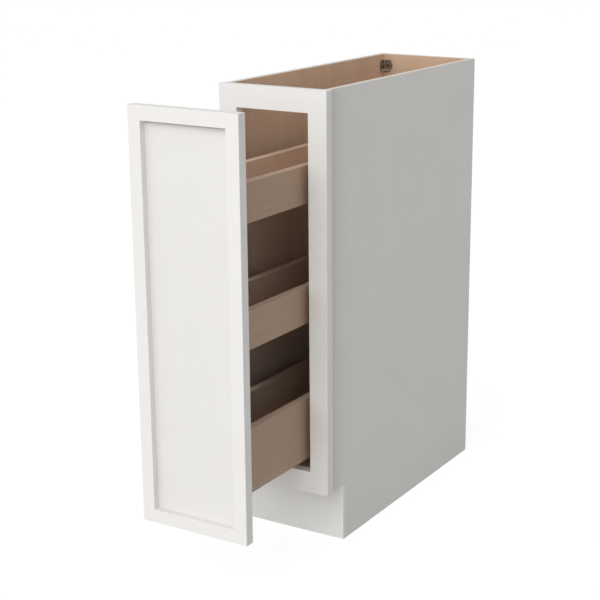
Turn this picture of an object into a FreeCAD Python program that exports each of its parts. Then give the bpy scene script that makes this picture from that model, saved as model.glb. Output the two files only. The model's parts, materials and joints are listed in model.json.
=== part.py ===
import FreeCAD
import Part
import math
import os

Vector = FreeCAD.Vector

# Millimetres. X runs across the cabinet, -Y is the front, +Z is up.
# The origin is the middle of the back face at floor level.

# Plywood box
cabinet_width = 228.6
cabinet_height = 876.3
cabinet_depth = 609.6
panel_thickness = 12.7
housing_depth = 6.35

# Face frame
frame_thickness = 19.05
frame_overhang = 3.2
stile_width = 38.1
rail_width = 41.3
dowel_diameter = 8.0
dowel_length = 40.0
dowel_edge_distance = 11.0

# Toe space and cabinet floor
toe_height = 114.3
toe_recess = 63.5
toe_board_thickness = 12.7
floor_drop = 3.2

# Corner brackets under the worktop
bracket_leg = 20.5
bracket_height = 22.5
bracket_thickness = 2.5
bracket_tip = 4.0
bracket_drop = 12.5
worktop_hole_diameter = 4.5
bracket_screw_distance = 11.0

# Door
door_thickness = 19.05
door_frame_width = 25.4
door_panel_thickness = 6.35
door_rabbet_width = 9.5
door_side_reveal = 2.4
door_end_reveal = 6.35
bumper_diameter = 10.0
bumper_thickness = 2.0
bumper_inset = 12.0

# Rack
tray_width = 127.0
tray_board_thickness = 15.9
tray_floor_thickness = 6.35
tray_floor_groove = 6.35
tray_floor_height = 6.35
low_tray_height = 71.4
bottom_tray_height = 121.5
rack_rail_clearance = 20.7
lower_bottle_gap = 145.2
upper_bottle_gap = 153.6
rack_board_thickness = 12.7
rack_screw_inset = 18.0
door_screw_spacing = 50.0

# The rack stands pulled out by this gap between the door and the face frame
pull_out = 248.5

# Ball-bearing runners
runner_rear_space = 67.8
runner_setback = 2.05
runner_rear_gap = 2.0
runner_height = 45.7
runner_thickness = 12.7
runner_lift = 2.0
rail_steel = 1.2
rail_lip = 1.0
outer_rail_flange = 9.5
middle_rail_offset = 3.6
middle_rail_flange = 7.2
inner_rail_flange = 6.5
ball_diameter = 3.5
ball_clearance = 0.28
ball_pitch = 24.0
ball_count = 8
cage_length = 200.0
cage_steel = 0.8
outer_cage_offset = 1.8
outer_cage_flange = 6.1
inner_cage_offset = 5.2
inner_cage_flange = 4.1
cage_hole_clearance = 0.15
runner_screw_inset = 35.0
runner_floor_gap = 6.35

# Runner cleats
cleat_thickness = 19.05
cleat_screw_inset = 60.0

# Screws: head diameter, shank diameter, length. A short screw stops under the far face of its board.
wood_beyond_tip = 3.2
door_screw_bite = 5.0
bracket_screw = {"head": 7.0, "shank": 3.0,
                 "length": bracket_thickness + panel_thickness - wood_beyond_tip}
runner_screw = {"head": 6.0, "shank": 3.6,
                "length": rail_steel + tray_board_thickness - wood_beyond_tip}
rack_screw = {"head": 7.5, "shank": 3.8, "length": 40.0}
cleat_screw = {"head": 8.0, "shank": 4.0, "length": 40.0}
door_screw = {"head": 9.0, "shank": 4.0, "length": rack_board_thickness + door_screw_bite}
pan_head_height = 2.2
hole_clearance = 0.05
recess_width = 1.0
recess_depth = 1.0
recess_share = 0.6

# Rounding of the edges that a hand meets
door_edge_radius = 1.2
frame_edge_radius = 0.8
tray_edge_radius = 1.6

# Values worked out from the sizes above
box_half = cabinet_width / 2 - frame_overhang
inner_half = box_half - panel_thickness
frame_front = -cabinet_depth
frame_back = frame_front + frame_thickness
back_inside = -panel_thickness
toe_front = frame_front + toe_recess
opening_half = cabinet_width / 2 - stile_width
opening_bottom = toe_height + rail_width
opening_top = cabinet_height - rail_width
cabinet_floor_top = opening_bottom - floor_drop
cabinet_floor_bottom = cabinet_floor_top - panel_thickness

door_half = cabinet_width / 2 - door_side_reveal
door_bottom = toe_height + door_end_reveal
door_top = cabinet_height - door_end_reveal
door_back = frame_front - pull_out
door_front = door_back - door_thickness
door_pocket = door_frame_width - door_rabbet_width

tray_half = tray_width / 2
tray_inner_half = tray_half - tray_board_thickness
bottom_tray_base = opening_bottom + rack_rail_clearance
bottom_tray_top = bottom_tray_base + bottom_tray_height
middle_tray_base = bottom_tray_top + lower_bottle_gap
middle_tray_top = middle_tray_base + low_tray_height
top_tray_base = middle_tray_top + upper_bottle_gap
top_tray_top = top_tray_base + low_tray_height

runner_length = (cabinet_depth - frame_thickness - panel_thickness
                 - runner_setback - runner_rear_space)
runner_bottom = bottom_tray_base + runner_lift
runner_middle = runner_bottom + runner_height / 2
runner_top = runner_bottom + runner_height
runner_face = tray_inner_half - runner_thickness
runner_front = frame_back + runner_setback
travel = pull_out - bumper_thickness
bottom_floor_base = runner_top + runner_floor_gap

rack_front_inside = door_back + rack_board_thickness
inner_rail_front = runner_front - travel
rack_rear_inside = inner_rail_front + runner_length + runner_rear_gap
rack_rear = rack_rear_inside + rack_board_thickness

# Half heights of the nested rails, and the height of the two rows of balls
ball_space = ball_diameter + 2 * ball_clearance
outer_half = runner_height / 2
middle_half = outer_half - rail_steel - ball_space
inner_rail_half = middle_half - rail_steel - ball_space
outer_ball_height = middle_half + ball_space / 2
inner_ball_height = inner_rail_half + ball_space / 2


def block(x0, x1, y0, y1, z0, z1):
    size = Vector(x1 - x0, y1 - y0, z1 - z0)
    return Part.makeBox(size.x, size.y, size.z, Vector(x0, y0, z0))


def lies_on(edge, axis, value):
    return all(abs(getattr(end.Point, axis) - value) < 1e-6 for end in edge.Vertexes)


def ease(shape, radius, corners):
    """Round the edges that lie where two planes meet, each given as axis and place."""
    edges = []
    for edge in shape.Edges:
        for first, second in corners:
            if lies_on(edge, *first) and lies_on(edge, *second):
                edges.append(edge)
    return shape.makeFillet(radius, edges)


def mirrored(shape):
    return shape.mirror(Vector(0, 0, 0), Vector(1, 0, 0))


def flat_screw(size, head, direction):
    """A countersunk wood screw whose head lies flush with the point given."""
    radius = size["head"] / 2
    shank = size["shank"] / 2
    sink = radius - shank
    point = shank * 2
    neck = head + direction * sink
    tip = head + direction * (size["length"] - point)
    body = Part.makeCone(radius, shank, sink, head, direction)
    body = body.fuse(Part.makeCylinder(shank, size["length"] - point - sink, neck, direction))
    return body.fuse(Part.makeCone(shank, 0, point, tip, direction)).removeSplitter()


def pan_screw(size, seat, direction):
    """A pan-head screw whose head stands on the seat point and whose shank runs on from it."""
    radius = size["head"] / 2
    shank = size["shank"] / 2
    point = shank
    crown = seat - direction * pan_head_height
    body = Part.makeCylinder(radius, pan_head_height, crown, direction)
    rim = [edge for edge in body.Edges if abs((edge.CenterOfMass - crown).Length) < 1e-6]
    body = body.makeFillet(pan_head_height / 2, rim)
    body = body.fuse(Part.makeCylinder(shank, size["length"] - point, seat, direction))
    tip = seat + direction * (size["length"] - point)
    return body.fuse(Part.makeCone(shank, 0, point, tip, direction)).removeSplitter()


def cross_recess(screw, size, face, direction):
    """Cut the cross for the driver into a screw head."""
    reach = size["head"] * recess_share / 2
    along = Vector(0, 0, 1) if abs(direction.z) < 0.5 else Vector(1, 0, 0)
    for arm in (along, along.cross(direction)):
        across = arm.cross(direction)
        corner = face - arm * reach - across * recess_width / 2 - direction * recess_depth
        corners = [corner, corner + arm * 2 * reach]
        corners += [corners[1] + across * recess_width, corner + across * recess_width]
        slot = Part.Face(Part.makePolygon(corners + [corner]))
        screw = screw.cut(slot.extrude(direction * 2 * recess_depth))
    return screw


def flat_hole(size, head, direction):
    """The countersunk hole that a flat screw sits in."""
    wider = {
        "head": size["head"] + 2 * hole_clearance,
        "shank": size["shank"] + 2 * hole_clearance,
        "length": size["length"] + hole_clearance * 4,
    }
    return flat_screw(wider, head, direction)


def pan_hole(size, seat, direction):
    """The straight hole under a pan head."""
    radius = size["shank"] / 2 + hole_clearance
    return Part.makeCylinder(radius, size["length"] + hole_clearance, seat, direction)


def drilled(shape, holes):
    for hole in holes:
        shape = shape.cut(hole)
    return shape


def flat_screws(size, places):
    screws = []
    for head, direction in places:
        screw = flat_screw(size, head, direction)
        screws.append(cross_recess(screw, size, head, direction))
    return Part.makeCompound(screws)


def pan_screws(size, places):
    screws = []
    for seat, direction in places:
        crown = seat - direction * pan_head_height
        screw = pan_screw(size, seat, direction)
        screws.append(cross_recess(screw, size, crown, direction))
    return Part.makeCompound(screws)


# Plywood box

def back_panel():
    half = inner_half + housing_depth
    return block(-half, half, back_inside, 0, 0, cabinet_height)


def cabinet_floor_board():
    half = inner_half + housing_depth
    return block(-half, half, frame_back, back_inside, cabinet_floor_bottom, cabinet_floor_top)


def cabinet_floor():
    holes = [flat_hole(cleat_screw, *place) for place in cleat_screw_places()]
    return drilled(cabinet_floor_board(), holes)


def right_side_panel():
    panel = block(inner_half, box_half, frame_back, 0, 0, cabinet_height)
    toe_edge = toe_front + toe_board_thickness
    panel = panel.cut(block(inner_half, box_half, frame_back, toe_edge, 0, toe_height))
    panel = panel.cut(back_panel()).cut(cabinet_floor_board())
    holes = [pan_hole(bracket_screw, *place) for place in bracket_screw_places()]
    return drilled(panel, holes)


def toe_kick_board():
    toe_back = toe_front + toe_board_thickness
    return block(-box_half, box_half, toe_front, toe_back, 0, toe_height)


# Face frame

def dowel_places():
    places = []
    for rail_bottom in (toe_height, opening_top):
        for side in (-1, 1):
            for height in (dowel_edge_distance, rail_width - dowel_edge_distance):
                places.append(Vector(side * opening_half, frame_front + frame_thickness / 2,
                                     rail_bottom + height))
    return places


def dowel(place, spare):
    length = dowel_length + 2 * spare
    start = place - Vector(length / 2, 0, 0)
    return Part.makeCylinder(dowel_diameter / 2 + spare, length, start, Vector(1, 0, 0))


def frame_dowels():
    return Part.makeCompound([dowel(place, 0) for place in dowel_places()])


def dowelled(shape):
    return drilled(shape, [dowel(place, hole_clearance) for place in dowel_places()])


def frame_right_stile():
    outside = cabinet_width / 2
    stile = block(opening_half, outside, frame_front, frame_back, toe_height, cabinet_height)
    front = ("y", frame_front)
    stile = ease(stile, frame_edge_radius, [(("x", outside), front)])
    holes = [pan_hole(bracket_screw, *place) for place in bracket_screw_places()]
    return drilled(dowelled(stile), holes)


def frame_rail(bottom):
    rail = block(-opening_half, opening_half, frame_front, frame_back, bottom, bottom + rail_width)
    return dowelled(rail)


# Corner brackets

def corner_places():
    """Each inner corner, with the directions of its two bracket legs."""
    places = {}
    for end, place, inward in (("back", back_inside, -1), ("front", frame_back, 1)):
        for name, side in (("left", -1), ("right", 1)):
            corner = Vector(side * inner_half, place, cabinet_height - bracket_drop)
            places[end + "_" + name] = (corner, -side, inward)
    return places


def corner_bracket(corner, along_x, along_y):
    """Two pointed legs and a web with the worktop screw hole, made for the +X +Y corner first."""
    reach = bracket_leg - bracket_tip
    outline = [(0, 0), (reach, 0), (bracket_leg, -bracket_height / 2), (reach, -bracket_height)]
    outline += [(0, -bracket_height), (0, 0)]
    on_back = Part.Face(Part.makePolygon([Vector(x, 0, z) for x, z in outline]))
    on_side = Part.Face(Part.makePolygon([Vector(0, y, z) for y, z in outline]))
    shape = on_back.extrude(Vector(0, bracket_thickness, 0))
    shape = shape.fuse(on_side.extrude(Vector(bracket_thickness, 0, 0)))
    foot = -bracket_height
    corners = [Vector(0, 0, foot), Vector(reach, 0, foot), Vector(reach, bracket_thickness, foot)]
    corners += [Vector(bracket_thickness, reach, foot), Vector(0, reach, foot), Vector(0, 0, foot)]
    web = Part.Face(Part.makePolygon(corners)).extrude(Vector(0, 0, bracket_thickness))
    shape = shape.fuse(web).removeSplitter()
    hole_place = Vector(worktop_hole_inset(), worktop_hole_inset(), foot)
    shape = shape.cut(Part.makeCylinder(worktop_hole_diameter / 2, bracket_thickness, hole_place))
    for direction in (Vector(0, -1, 0), Vector(-1, 0, 0)):
        shape = shape.cut(pan_hole(bracket_screw, bracket_screw_seat(direction), direction))
    if along_x < 0:
        shape = shape.mirror(Vector(0, 0, 0), Vector(1, 0, 0))
    if along_y < 0:
        shape = shape.mirror(Vector(0, 0, 0), Vector(0, 1, 0))
    shape.translate(corner)
    return shape


def worktop_hole_inset():
    """The middle of the largest circle that the web's triangle takes."""
    leg = bracket_leg - bracket_tip - bracket_thickness
    return bracket_thickness + leg * (1 - math.sqrt(0.5))


def bracket_screw_seat(direction):
    """Where a screw head sits on a leg, in the bracket's own corner frame."""
    above_web = -(bracket_height - bracket_thickness) / 2
    if direction.y < 0:
        return Vector(bracket_screw_distance, bracket_thickness, above_web)
    return Vector(bracket_thickness, bracket_screw_distance, above_web)


def bracket_screw_places():
    places = []
    for corner, along_x, along_y in corner_places().values():
        for own in (Vector(0, -1, 0), Vector(-1, 0, 0)):
            seat = bracket_screw_seat(own)
            place = corner + Vector(seat.x * along_x, seat.y * along_y, seat.z)
            places.append((place, Vector(own.x * along_x, own.y * along_y, 0)))
    return places


# Door

def door_panel_board():
    half = door_half - door_pocket
    front = door_back - door_panel_thickness
    return block(-half, half, front, door_back, door_bottom + door_pocket, door_top - door_pocket)


def door_panel():
    holes = [pan_hole(door_screw, *place) for place in door_screw_places()]
    return drilled(door_panel_board(), holes)


def door_right_stile():
    inside = door_half - door_frame_width
    stile = block(inside, door_half, door_front, door_back, door_bottom, door_top)
    front = ("y", door_front)
    outer = [(("x", door_half), front), (("z", door_top), front), (("z", door_bottom), front)]
    return ease(stile, door_edge_radius, outer).cut(door_panel_board())


def door_rail(bottom, outer_edge):
    half = door_half - door_frame_width
    rail = block(-half, half, door_front, door_back, bottom, bottom + door_frame_width)
    rail = ease(rail, door_edge_radius, [(("z", outer_edge), ("y", door_front))])
    return rail.cut(door_panel_board())


def door_bumpers():
    bumpers = []
    for side in (-1, 1):
        for height in (door_bottom + bumper_inset, door_top - bumper_inset):
            base = Vector(side * (door_half - bumper_inset), door_back, height)
            pad = Part.makeCylinder(bumper_diameter / 2, bumper_thickness, base, Vector(0, 1, 0))
            crown = base + Vector(0, bumper_thickness, 0)
            rim = [edge for edge in pad.Edges if (edge.CenterOfMass - crown).Length < 1e-6]
            bumpers.append(pad.makeFillet(bumper_thickness / 2, rim))
    return Part.makeCompound(bumpers)


def door_screw_places():
    """Two screws in the top and bottom tray and in each space between the trays."""
    heights = [
        (bottom_floor_base + tray_floor_thickness + bottom_tray_top) / 2,
        bottom_tray_top + lower_bottle_gap / 2,
        middle_tray_top + upper_bottle_gap / 2,
        (top_tray_base + tray_floor_height + tray_floor_thickness + top_tray_top) / 2,
    ]
    places = []
    for height in heights:
        for side in (-1, 1):
            seat = Vector(side * door_screw_spacing / 2, rack_front_inside, height)
            places.append((seat, Vector(0, -1, 0)))
    return places


# Rack

def trays():
    """Each tray's lowest edge, top edge and the underside of its floor."""
    low_floor = tray_floor_height
    return {
        "bottom": (bottom_tray_base, bottom_tray_top, bottom_floor_base),
        "middle": (middle_tray_base, middle_tray_top, middle_tray_base + low_floor),
        "top": (top_tray_base, top_tray_top, top_tray_base + low_floor),
    }


def tray_floor(floor_base):
    half = tray_inner_half + tray_floor_groove
    floor_top = floor_base + tray_floor_thickness
    return block(-half, half, rack_front_inside, rack_rear_inside, floor_base, floor_top)


def tray_right_side(base, top, floor_base):
    side = block(tray_inner_half, tray_half, rack_front_inside, rack_rear_inside, base, top)
    edges = [(("x", tray_inner_half), ("z", top)), (("x", tray_half), ("z", top))]
    edges += [(("x", tray_half), ("z", base))]
    side = ease(side, tray_edge_radius, edges).cut(tray_floor(floor_base))
    holes = [flat_hole(rack_screw, *place) for place in front_screw_places() + rear_screw_places()]
    holes += [flat_hole(runner_screw, *place) for place in inner_rail_screw_places()]
    return drilled(side, holes)


def rack_front_board():
    board = block(-tray_half, tray_half, door_back, rack_front_inside, bottom_tray_base, top_tray_top)
    holes = [flat_hole(rack_screw, *place) for place in front_screw_places()]
    holes += [pan_hole(door_screw, *place) for place in door_screw_places()]
    return drilled(board, holes)


def rack_rear_board():
    board = block(-tray_half, tray_half, rack_rear_inside, rack_rear, bottom_floor_base, top_tray_top)
    edges = [(("z", top_tray_top), ("y", rack_rear_inside)), (("z", top_tray_top), ("y", rack_rear))]
    board = ease(board, tray_edge_radius, edges)
    return drilled(board, [flat_hole(rack_screw, *place) for place in rear_screw_places()])


def end_screw_places(y, direction, lowest):
    """Two screws into the end of every tray side."""
    places = []
    for base, top, _ in trays().values():
        foot = max(base, lowest)
        for height in (foot + rack_screw_inset, top - rack_screw_inset):
            for side in (-1, 1):
                x = side * (tray_half - tray_board_thickness / 2)
                places.append((Vector(x, y, height), Vector(0, direction, 0)))
    return places


def front_screw_places():
    return end_screw_places(door_back, 1, bottom_tray_base)


def rear_screw_places():
    return end_screw_places(rack_rear, -1, bottom_floor_base)


# Runners. A rail's section is drawn from its face on the cleat outwards and up from its middle.

def section_bar(points, front, length):
    corners = [Vector(runner_face + out, front, runner_middle + up) for out, up in points]
    face = Part.Face(Part.makePolygon(corners + corners[:1]))
    return face.extrude(Vector(0, length, 0))


def channel(start, flange, half, steel, lip, front, length):
    """A lipped channel whose web starts at one depth; a negative flange opens towards the cleat."""
    sign = 1 if flange > 0 else -1
    web, end = start + sign * steel, start + flange
    turn = end - sign * steel
    upper = [(start, half), (end, half), (end, half - steel - lip), (turn, half - steel - lip)]
    upper += [(turn, half - steel), (web, half - steel)]
    lower = [(out, -up) for out, up in reversed(upper)]
    return section_bar(upper + lower, front, length)


def right_outer_rail():
    rail = channel(0, outer_rail_flange, outer_half, rail_steel, rail_lip, runner_front, runner_length)
    return drilled(rail, [flat_hole(runner_screw, *place) for place in outer_rail_screw_places()])


def right_middle_rail():
    front = runner_front - travel / 2
    return channel(middle_rail_offset, middle_rail_flange, middle_half, rail_steel, rail_lip,
                   front, runner_length)


def right_inner_rail():
    rail = channel(runner_thickness, -inner_rail_flange, inner_rail_half, rail_steel, rail_lip,
                   inner_rail_front, runner_length)
    return drilled(rail, [flat_hole(runner_screw, *place) for place in inner_rail_screw_places()])


def cage_middle(share):
    """A cage stays in the middle of the stretch where its two rails overlap."""
    return runner_front + runner_length / 2 - travel * share


def ball_centres(share, depth, height):
    centres = []
    first = cage_middle(share) - ball_pitch * (ball_count - 1) / 2
    for row in (-height, height):
        for index in range(ball_count):
            y = first + ball_pitch * index
            centres.append(Vector(runner_face + depth, y, runner_middle + row))
    return centres


def ball_cage(share, offset, flange, depth, height):
    half = height + cage_steel / 2
    front = cage_middle(share) - cage_length / 2
    web, end = offset + cage_steel, offset + flange
    upper = [(offset, half), (end, half), (end, half - cage_steel), (web, half - cage_steel)]
    lower = [(out, -up) for out, up in reversed(upper)]
    cage = section_bar(upper + lower, front, cage_length)
    radius = ball_diameter / 2 + cage_hole_clearance
    for centre in ball_centres(share, depth, height):
        start = centre - Vector(0, 0, cage_steel)
        cage = cage.cut(Part.makeCylinder(radius, 2 * cage_steel, start))
    return cage


def balls(share, depth, height):
    right = [Part.makeSphere(ball_diameter / 2, centre) for centre in ball_centres(share, depth, height)]
    return Part.makeCompound(right + [mirrored(ball) for ball in right])


def outer_ball_depth():
    """Between the outer cage's web and the outer rail's lip."""
    return (outer_cage_offset + cage_steel + outer_rail_flange - rail_steel) / 2


def inner_ball_depth():
    """Between the inner cage's web and the middle rail's lip."""
    lip = middle_rail_offset + middle_rail_flange - rail_steel
    return (inner_cage_offset + cage_steel + lip) / 2


def along_runner(front):
    ends = (runner_screw_inset, runner_length / 2, runner_length - runner_screw_inset)
    return [front + place for place in ends]


def outer_rail_screw_places():
    x = runner_face + rail_steel
    return [(Vector(x, y, runner_middle), Vector(-1, 0, 0)) for y in along_runner(runner_front)]


def inner_rail_screw_places():
    x = tray_inner_half - rail_steel
    return [(Vector(x, y, runner_middle), Vector(1, 0, 0)) for y in along_runner(inner_rail_front)]


def both_sides(places):
    """The places on the right, then the same on the left."""
    left = [(Vector(-p.x, p.y, p.z), Vector(-d.x, d.y, d.z)) for p, d in places]
    return places + left


# Runner cleats

def right_runner_cleat():
    cleat = block(runner_face - cleat_thickness, runner_face, runner_front,
                  runner_front + runner_length, cabinet_floor_top, runner_top)
    holes = [flat_hole(cleat_screw, *place) for place in cleat_screw_places()]
    holes += [flat_hole(runner_screw, *place) for place in outer_rail_screw_places()]
    return drilled(cleat, holes)


def cleat_screw_places():
    x = runner_face - cleat_thickness / 2
    ends = (cleat_screw_inset, runner_length / 2, runner_length - cleat_screw_inset)
    right = [(Vector(x, runner_front + place, cabinet_floor_bottom), Vector(0, 0, 1)) for place in ends]
    return both_sides(right)


def cabinet_pieces():
    side, stile, cleat = right_side_panel(), frame_right_stile(), right_runner_cleat()
    outer = right_outer_rail()
    pieces = {
        "left_side_panel": mirrored(side),
        "right_side_panel": side,
        "back_panel": drilled(back_panel(), [pan_hole(bracket_screw, *place)
                                             for place in bracket_screw_places()]),
        "cabinet_floor": cabinet_floor(),
        "toe_kick_board": toe_kick_board(),
        "frame_left_stile": mirrored(stile),
        "frame_right_stile": stile,
        "frame_top_rail": frame_rail(opening_top),
        "frame_bottom_rail": frame_rail(toe_height),
        "frame_dowels": frame_dowels(),
        "corner_bracket_screws": pan_screws(bracket_screw, bracket_screw_places()),
        "left_runner_cleat": mirrored(cleat),
        "right_runner_cleat": cleat,
        "runner_cleat_screws": flat_screws(cleat_screw, cleat_screw_places()),
        "left_outer_rail": mirrored(outer),
        "right_outer_rail": outer,
        "outer_rail_screws": flat_screws(runner_screw, both_sides(outer_rail_screw_places())),
    }
    for name, place in corner_places().items():
        pieces["corner_bracket_" + name] = corner_bracket(*place)
    return pieces


def runner_pieces():
    middle = right_middle_rail()
    outer = (0.25, outer_ball_depth(), outer_ball_height)
    inner = (0.75, inner_ball_depth(), inner_ball_height)
    outer_cage = ball_cage(outer[0], outer_cage_offset, outer_cage_flange, *outer[1:])
    inner_cage = ball_cage(inner[0], inner_cage_offset, inner_cage_flange, *inner[1:])
    return {
        "left_middle_rail": mirrored(middle),
        "right_middle_rail": middle,
        "left_outer_ball_cage": mirrored(outer_cage),
        "right_outer_ball_cage": outer_cage,
        "outer_runner_balls": balls(*outer),
        "left_inner_ball_cage": mirrored(inner_cage),
        "right_inner_ball_cage": inner_cage,
        "inner_runner_balls": balls(*inner),
    }


def rack_pieces():
    stile, inner = door_right_stile(), right_inner_rail()
    pieces = {
        "door_left_stile": mirrored(stile),
        "door_right_stile": stile,
        "door_top_rail": door_rail(door_top - door_frame_width, door_top),
        "door_bottom_rail": door_rail(door_bottom, door_bottom),
        "door_panel": door_panel(),
        "door_bumpers": door_bumpers(),
        "door_fixing_screws": pan_screws(door_screw, door_screw_places()),
        "rack_front_board": rack_front_board(),
        "rack_rear_board": rack_rear_board(),
        "rack_front_screws": flat_screws(rack_screw, front_screw_places()),
        "rack_rear_screws": flat_screws(rack_screw, rear_screw_places()),
        "left_inner_rail": mirrored(inner),
        "right_inner_rail": inner,
        "inner_rail_screws": flat_screws(runner_screw, both_sides(inner_rail_screw_places())),
    }
    for name, (base, top, floor_base) in trays().items():
        side = tray_right_side(base, top, floor_base)
        pieces[name + "_tray_left_side"] = mirrored(side)
        pieces[name + "_tray_right_side"] = side
        pieces[name + "_tray_floor"] = tray_floor(floor_base)
    return pieces


def main():
    os.makedirs("parts", exist_ok=True)
    for pieces in (cabinet_pieces(), runner_pieces(), rack_pieces()):
        for name, shape in pieces.items():
            shape.exportStep("parts/" + name + ".step")
            print(name, len(shape.Solids), "valid" if shape.isValid() else "NOT VALID")


main()
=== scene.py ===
# Spice rack base cabinet: the looks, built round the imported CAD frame.
# Metres, +Z up. The front looks along -Y and the rack stands half way out.
import json
import math
import random

import bmesh
import bpy
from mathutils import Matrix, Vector


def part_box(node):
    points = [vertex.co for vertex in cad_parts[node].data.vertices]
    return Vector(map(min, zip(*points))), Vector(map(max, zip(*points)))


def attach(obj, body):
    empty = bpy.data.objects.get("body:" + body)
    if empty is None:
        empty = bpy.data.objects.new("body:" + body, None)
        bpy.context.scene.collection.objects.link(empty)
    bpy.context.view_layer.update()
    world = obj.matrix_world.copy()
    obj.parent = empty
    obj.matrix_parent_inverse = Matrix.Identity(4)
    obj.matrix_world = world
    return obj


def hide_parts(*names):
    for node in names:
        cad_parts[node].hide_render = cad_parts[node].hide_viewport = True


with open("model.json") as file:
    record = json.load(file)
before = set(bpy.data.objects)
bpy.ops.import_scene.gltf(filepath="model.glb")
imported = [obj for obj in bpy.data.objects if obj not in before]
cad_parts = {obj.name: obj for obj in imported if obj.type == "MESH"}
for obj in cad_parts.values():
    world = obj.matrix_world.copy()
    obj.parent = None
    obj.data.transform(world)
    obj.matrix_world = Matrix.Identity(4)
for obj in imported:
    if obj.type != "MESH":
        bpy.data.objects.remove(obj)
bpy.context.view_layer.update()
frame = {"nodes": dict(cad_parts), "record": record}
nodes = frame["nodes"]
bodyOf = {node: body for body, group in frame["record"]["behaviour"]["bodies"].items() for node in group}
mm = 0.001
dice = random.Random(11)    # fixed seed: every board keeps its own stretch of grain


def linear(hexColour):
    # sRGB hex to linear RGBA
    shares = [int(hexColour[i:i + 2], 16) / 255 for i in (1, 3, 5)]
    return [s / 12.92 if s <= 0.04045 else ((s + 0.055) / 1.055) ** 2.4 for s in shares] + [1.0]


def addNode(tree, kind, inputs=None, **settings):
    # an input is a plain value, another node's output, or a list of outputs for a joining socket
    node = tree.nodes.new(kind)
    for name, value in settings.items():
        setattr(node, name, value)
    for key, value in (inputs or {}).items():
        sources = value if isinstance(value, list) else [value]
        if isinstance(sources[0], bpy.types.NodeSocket):
            for source in sources:
                tree.links.new(source, node.inputs[key])
        else:
            node.inputs[key].default_value = value
    return node


def startMaterial(name):
    material = bpy.data.materials.new(name)
    material.use_nodes = True
    material.node_tree.nodes.clear()
    return material, material.node_tree


def endMaterial(material, sockets):
    # one Principled shader: a number is the same all over the surface, an output follows a pattern
    shader = addNode(material.node_tree, "ShaderNodeBsdfPrincipled", sockets)
    addNode(material.node_tree, "ShaderNodeOutputMaterial", {"Surface": shader.outputs[0]})
    return material


noiseRange = (0.3, 0.7)      # most values of a noise texture lie between these

# Satin acrylic lacquer, sprayed on wood: a warm white with a soft sheen, slow clouds of tone, faint orange
# peel, and a trace of the grain that lifts under it. Near some edges a painted shadow greys it.
lacquerLook = {
    "white": "#EFEEEA",
    "shade": "#EDEBE7",
    # the grey of the painted shadows
    "thin": "#8E8C88",
    "cloudSize": 80 * mm,
    "peelSize": 2.0 * mm,          # real peel is finer, drawn this coarse so that it shows at all
    "grain": (90 * mm, 1.4 * mm),  # length along the grain, width across it
    "grainShare": 0.55,            # of the grain against the peel
    "liftDepth": 0.02 * mm,
    "liftStrength": 0.6,
    "gloss": (0.44, 0.54),
}
sideLook = dict(lacquerLook, white="#EDEBE7", shade="#EBE8E4")
doorLook = dict(lacquerLook, white="#EEECE8", shade="#ECE9E5", grainShare=0.30)
recessShadeLook = dict(doorLook, white="#E9E7E3", shade="#E7E4E0")      # painted shade: a little darker white on the recess walls and the panel
# painted shadows that grey the lacquer, behind the face frame's lip and under the door's top rail:
# the grey's share is full as far as the start along the way, and fades over the reach past it
paintedShadows = {
    "shadowBehindFrame": {
        "way": (0, 1, 0),
        "start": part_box("frame_right_stile")[1].y,
        "reach": 28 * mm,
        "share": 0.31,
    },
    "shadowUnderRail": {
        "way": (0, 0, -1),
        "start": 3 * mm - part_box("door_top_rail")[0].z,
        "reach": 2.1 * mm,
        "share": 0.55,
    },
}


def satinLacquer(name, look, paintedShadow=None):
    material, tree = startMaterial(name)
    place = addNode(tree, "ShaderNodeTexCoord").outputs["Object"]
    grain = addNode(tree, "ShaderNodeAttribute", attribute_name="grain").outputs["Vector"]
    length, width = look["grain"]
    lines = addNode(tree, "ShaderNodeVectorMath", {0: grain, 1: (1 / length, 1 / width, 1 / width)},
                    operation="MULTIPLY")
    lift = addNode(tree, "ShaderNodeTexNoise", {"Vector": lines.outputs[0], "Scale": 1.0, "Detail": 3.0})
    peel = addNode(tree, "ShaderNodeTexNoise",
                   {"Vector": place, "Scale": 1 / look["peelSize"], "Detail": 1.0})
    cloud = addNode(tree, "ShaderNodeTexNoise",
                    {"Vector": place, "Scale": 1 / look["cloudSize"], "Detail": 2.0})
    colour = addNode(tree, "ShaderNodeMix", {0: cloud.outputs[0], 6: linear(look["white"]),
                                             7: linear(look["shade"])}, data_type="RGBA")
    # painted shadow: the colour greys towards the edge that would cast the shadow
    if paintedShadow:
        along = addNode(tree, "ShaderNodeVectorMath", {0: place, 1: paintedShadow["way"]}, operation="DOT_PRODUCT")
        past = addNode(tree, "ShaderNodeMath", {0: paintedShadow["start"], 1: along.outputs["Value"]},
                       operation="SUBTRACT")
        fade = addNode(tree, "ShaderNodeMath", {0: past.outputs[0], 1: paintedShadow["reach"]}, operation="DIVIDE")
        left = addNode(tree, "ShaderNodeMath", {0: fade.outputs[0]}, operation="EXPONENT")
        most = addNode(tree, "ShaderNodeMath", {0: left.outputs[0], 1: 1.0}, operation="MINIMUM")
        thin = addNode(tree, "ShaderNodeMath", {0: most.outputs[0], 1: paintedShadow["share"]}, operation="MULTIPLY")
        colour = addNode(tree, "ShaderNodeMix", {0: thin.outputs[0], 6: colour.outputs[2],
                                                 7: linear(look["thin"])}, data_type="RGBA")
    height = addNode(tree, "ShaderNodeMix", {0: look["grainShare"], 2: peel.outputs[0], 3: lift.outputs[0]})
    bump = addNode(tree, "ShaderNodeBump", {"Strength": look["liftStrength"], "Distance": look["liftDepth"],
                                            "Height": height.outputs[0]})
    gloss = addNode(tree, "ShaderNodeMapRange",
                    {"Value": cloud.outputs[0], "From Min": noiseRange[0], "From Max": noiseRange[1],
                     "To Min": look["gloss"][0], "To Max": look["gloss"][1]})
    return endMaterial(material, {"IOR": 1.48, "Specular IOR Level": 0.3, "Base Color": colour.outputs[2],
                                  "Roughness": gloss.outputs[0], "Normal": bump.outputs[0]})


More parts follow.
